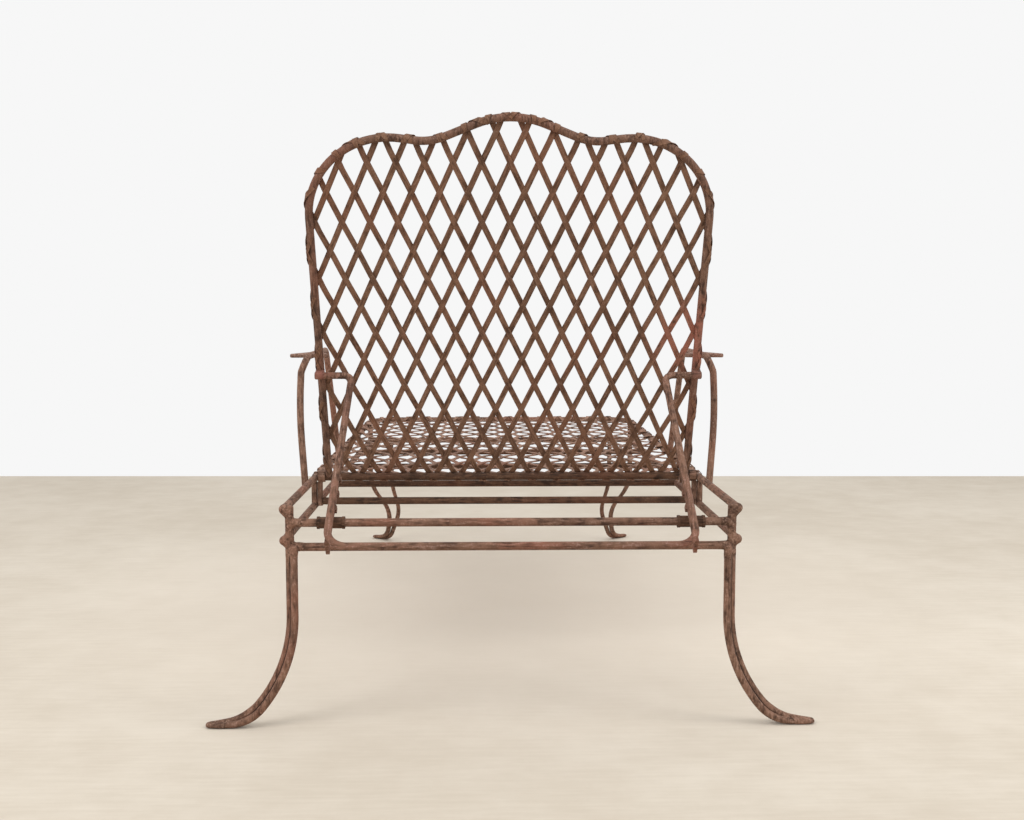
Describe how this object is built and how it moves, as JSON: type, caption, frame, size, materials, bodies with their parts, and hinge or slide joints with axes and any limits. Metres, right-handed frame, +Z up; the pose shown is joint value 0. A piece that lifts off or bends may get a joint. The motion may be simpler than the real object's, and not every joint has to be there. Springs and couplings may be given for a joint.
{
  "type": "iron chaise longue",
  "caption": "Chaise longue of round iron bar with a flat lattice seat, a lattice back that reclines on a hinge, a notched prop behind it, hooped arms and swept legs.",
  "frame": {"origin": "on the floor, under the middle of the chair's overall box", "axes": "+Z up, +Y towards the foot end, +X to the right for someone standing behind the back"},
  "size_m": [0.9334, 1.5756, 0.9359],
  "materials": {
    "bar_iron": "matte, rusted and pitted",
    "strip_iron": "matte, rusted",
    "pad_iron": "matte, rusted"
  },
  "bodies": {
    "frame": {"arm_hoop_left": "bar_iron", "arm_hoop_right": "bar_iron", "arm_pad_left": "pad_iron", "arm_pad_right": "pad_iron", "catch_bar": "bar_iron", "catch_collar_left": "bar_iron", "catch_collar_right": "bar_iron", "front_bar": "bar_iron", "front_foot_left": "bar_iron", "front_foot_right": "bar_iron", "front_leg_inner_left": "bar_iron", "front_leg_inner_right": "bar_iron", "front_leg_outer_left": "bar_iron", "front_leg_outer_right": "bar_iron", "hinge_eye_left": "bar_iron", "hinge_eye_right": "bar_iron", "lower_rail_left": "bar_iron", "lower_rail_right": "bar_iron", "mid_bar": "bar_iron", "mid_post_inner_left": "bar_iron", "mid_post_inner_right": "bar_iron", "mid_post_outer_left": "bar_iron", "mid_post_outer_right": "bar_iron", "rear_bar": "bar_iron", "rear_foot_left": "bar_iron", "rear_foot_right": "bar_iron", "rear_leg_inner_left": "bar_iron", "rear_leg_inner_right": "bar_iron", "rear_leg_outer_left": "bar_iron", "rear_leg_outer_right": "bar_iron", "seat_frame": "bar_iron", "seat_rear_bar": "bar_iron", "seat_strips_lower": "strip_iron", "seat_strips_upper": "strip_iron", "seat_wraps": "strip_iron", "stretcher_front": "bar_iron", "stretcher_middle": "bar_iron", "stretcher_rear": "bar_iron", "upper_rail_left": "bar_iron", "upper_rail_right": "bar_iron"},
    "back": {"hinge_shaft": "bar_iron", "back_frame": "bar_iron", "back_strips_rear": "strip_iron", "back_strips_front": "strip_iron", "back_wraps": "strip_iron", "prop_clip_left": "bar_iron", "prop_clip_right": "bar_iron"},
    "prop": {"prop_bail": "bar_iron", "prop_rack_left": "bar_iron", "prop_rack_right": "bar_iron"}
  },
  "joints": [
    {"name": "back_recline", "type": "hinge", "parent": "frame", "child": "back", "pos_m": [0, -0.40255, 0.34], "axis": [1, 0, 0], "range_deg": [0, 24.5]},
    {"name": "prop_swing", "type": "hinge", "parent": "back", "child": "prop", "pos_m": [0, -0.50283, 0.52508], "axis": [1, 0, 0], "range_deg": [-26, 0]}
  ],
  "couplings": [
    {"joint": "prop_swing", "follows": "back_recline", "ratio": -1.04}
  ]
}
